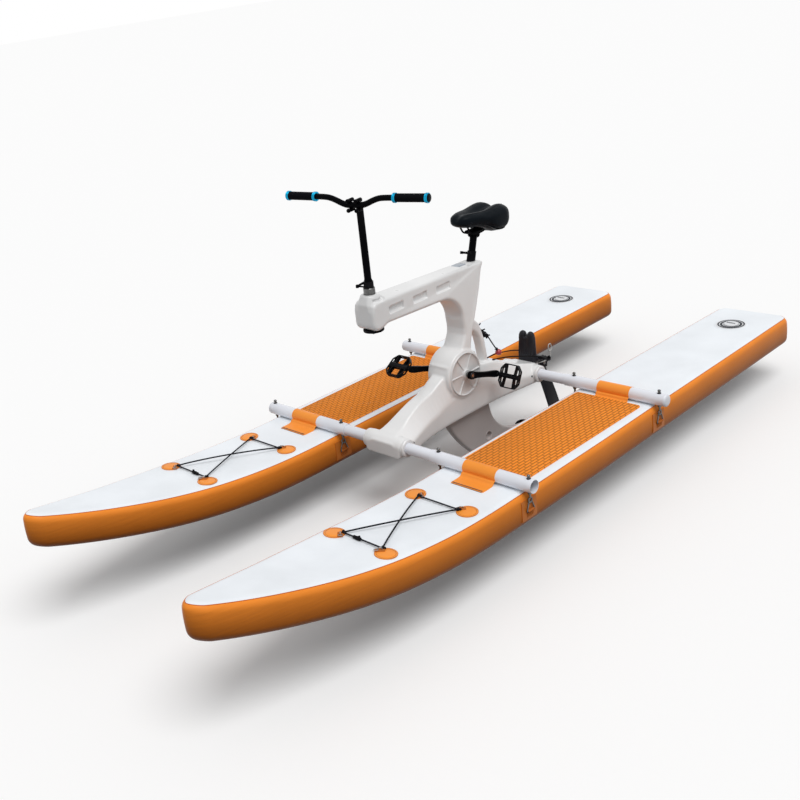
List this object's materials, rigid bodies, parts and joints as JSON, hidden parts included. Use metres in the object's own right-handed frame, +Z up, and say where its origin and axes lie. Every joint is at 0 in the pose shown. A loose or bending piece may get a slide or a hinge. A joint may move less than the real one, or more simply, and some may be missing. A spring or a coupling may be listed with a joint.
{
  "type": "pontoon water bike",
  "caption": "Pedal-driven catamaran: two inflatable boards joined by cross tubes carry a moulded body with saddle, steered handlebar, propeller leg and rudder.",
  "frame": {"origin": "bottom centre of the bounding box, at the height of the lowest point of the drive leg", "axes": "+X to port, +Y aft, +Z up; the boards run along Y with their bows towards -Y"},
  "size_m": [1.316, 3.2, 1.2495],
  "materials": {
    "board": "white coated drop-stitch fabric, orange on the rails",
    "pad": "grooved closed-cell foam",
    "orange_fabric": "coated orange fabric",
    "cord": "black braided cord",
    "valve_black": "moulded plastic",
    "stainless": "polished stainless steel",
    "tube": "white powder coat",
    "shell": "white moulded plastic",
    "leg_grey": "grey moulded plastic",
    "steel": "machined",
    "black_metal": "black anodised",
    "black_plastic": "black moulded plastic",
    "grip_rubber": "soft rubber with clamped lock rings",
    "saddle_skin": "smooth synthetic leather over foam",
    "red_ball": "moulded ball"
  },
  "bodies": {
    "craft": {"hull_port": "board", "hull_starboard": "board", "deck_pad_port": "pad", "deck_pad_starboard": "pad", "strap_front_port": "orange_fabric", "strap_front_starboard": "orange_fabric", "strap_rear_port": "orange_fabric", "strap_rear_starboard": "orange_fabric", "bungee_port": "cord", "bungee_starboard": "cord", "steering_cable_port": "cord", "steering_cable_starboard": "cord", "valve_port": "valve_black", "valve_starboard": "valve_black", "tie_front_inner_port": "stainless", "tie_front_inner_starboard": "stainless", "tie_front_outer_port": "stainless", "tie_front_outer_starboard": "stainless", "tie_rear_inner_port": "stainless", "tie_rear_inner_starboard": "stainless", "tie_rear_outer_port": "stainless", "tie_rear_outer_starboard": "stainless", "crossbar_front": "tube", "crossbar_rear": "tube", "crossbar_end_front_port": "tube", "crossbar_end_front_starboard": "tube", "crossbar_end_rear_port": "tube", "crossbar_end_rear_starboard": "tube", "gear_cover_port": "shell", "gear_cover_starboard": "shell", "body_shell": "shell", "drive_leg": "leg_grey", "seat_sleeve": "black_metal", "seat_collar": "black_metal", "rudder_bracket": "black_plastic", "lift_cord": "cord", "lift_ball": "red_ball"},
    "seat_lever": {"seat_lever": "black_metal"},
    "seat": {"seat_post": "black_metal", "saddle": "saddle_skin"},
    "crank": {"crank_axle": "steel", "crank_arm_port": "black_metal", "crank_arm_starboard": "black_metal"},
    "pedal_port": {"pedal_port": "black_plastic"},
    "pedal_starboard": {"pedal_starboard": "black_plastic"},
    "drive_shaft": {"drive_shaft": "steel"},
    "propeller": {"prop_shaft": "steel", "propeller": "black_plastic"},
    "steerer": {"steerer_tube": "black_metal", "steering_disc": "black_plastic", "head_collar": "stainless", "stem_band": "black_metal"},
    "stem_lever": {"stem_lever": "black_metal"},
    "stem": {"stem_post": "black_metal", "stem_clamp": "black_metal", "handlebar": "black_metal", "grip_port": "grip_rubber", "grip_starboard": "grip_rubber"},
    "rudder": {"rudder_head": "black_plastic"},
    "rudder_blade": {"rudder_blade": "black_plastic"}
  },
  "joints": [
    {"name": "crank_spin", "type": "hinge", "parent": "craft", "child": "crank", "pos_m": [0, 0.054, 0.44], "axis": [1, 0, 0], "continuous": true},
    {"name": "pedal_port_spin", "type": "hinge", "parent": "crank", "child": "pedal_port", "pos_m": [0.147, 0.2051, 0.39381], "axis": [1, 0, 0], "continuous": true},
    {"name": "pedal_starboard_spin", "type": "hinge", "parent": "crank", "child": "pedal_starboard", "pos_m": [-0.147, -0.0971, 0.48619], "axis": [1, 0, 0], "continuous": true},
    {"name": "shaft_spin", "type": "hinge", "parent": "craft", "child": "drive_shaft", "pos_m": [0, 0.054, 0.44], "axis": [0, 0.3134, -0.9496], "continuous": true},
    {"name": "propeller_spin", "type": "hinge", "parent": "craft", "child": "propeller", "pos_m": [0, 0.186, 0.04], "axis": [0, 1, 0], "continuous": true},
    {"name": "steering", "type": "hinge", "parent": "craft", "child": "steerer", "pos_m": [0, -0.351, 0.864], "axis": [0, 0, 1], "range_deg": [-45.8, 24.2]},
    {"name": "stem_height", "type": "slide", "parent": "steerer", "child": "stem", "axis": [0, 0, 1], "range_m": [-0.1, 0.05]},
    {"name": "stem_lever_open", "type": "hinge", "parent": "steerer", "child": "stem_lever", "pos_m": [-0.02243, -0.38714, 0.9126], "axis": [0, 0, 1], "range_deg": [0, 110]},
    {"name": "seat_height", "type": "slide", "parent": "craft", "child": "seat", "axis": [0, 0.3007, 0.9537], "range_m": [-0.03, 0.04]},
    {"name": "seat_lever_open", "type": "hinge", "parent": "craft", "child": "seat_lever", "pos_m": [-0.0276, 0.18681, 0.87989], "axis": [0, 0.3007, 0.9537], "range_deg": [0, 110]},
    {"name": "rudder_yaw", "type": "hinge", "parent": "craft", "child": "rudder", "pos_m": [0, 0.56, 0.324], "axis": [0, 0, 1], "range_deg": [-12.1, 22.9]},
    {"name": "rudder_lift", "type": "hinge", "parent": "rudder", "child": "rudder_blade", "pos_m": [0.00395, 0.60181, 0.29], "axis": [0.9956, -0.0941, 0], "range_deg": [0, 100]}
  ],
  "couplings": [
    {"joint": "shaft_spin", "follows": "crank_spin", "ratio": -3},
    {"joint": "propeller_spin", "follows": "crank_spin", "ratio": -6},
    {"joint": "rudder_yaw", "follows": "steering", "ratio": -0.5}
  ]
}
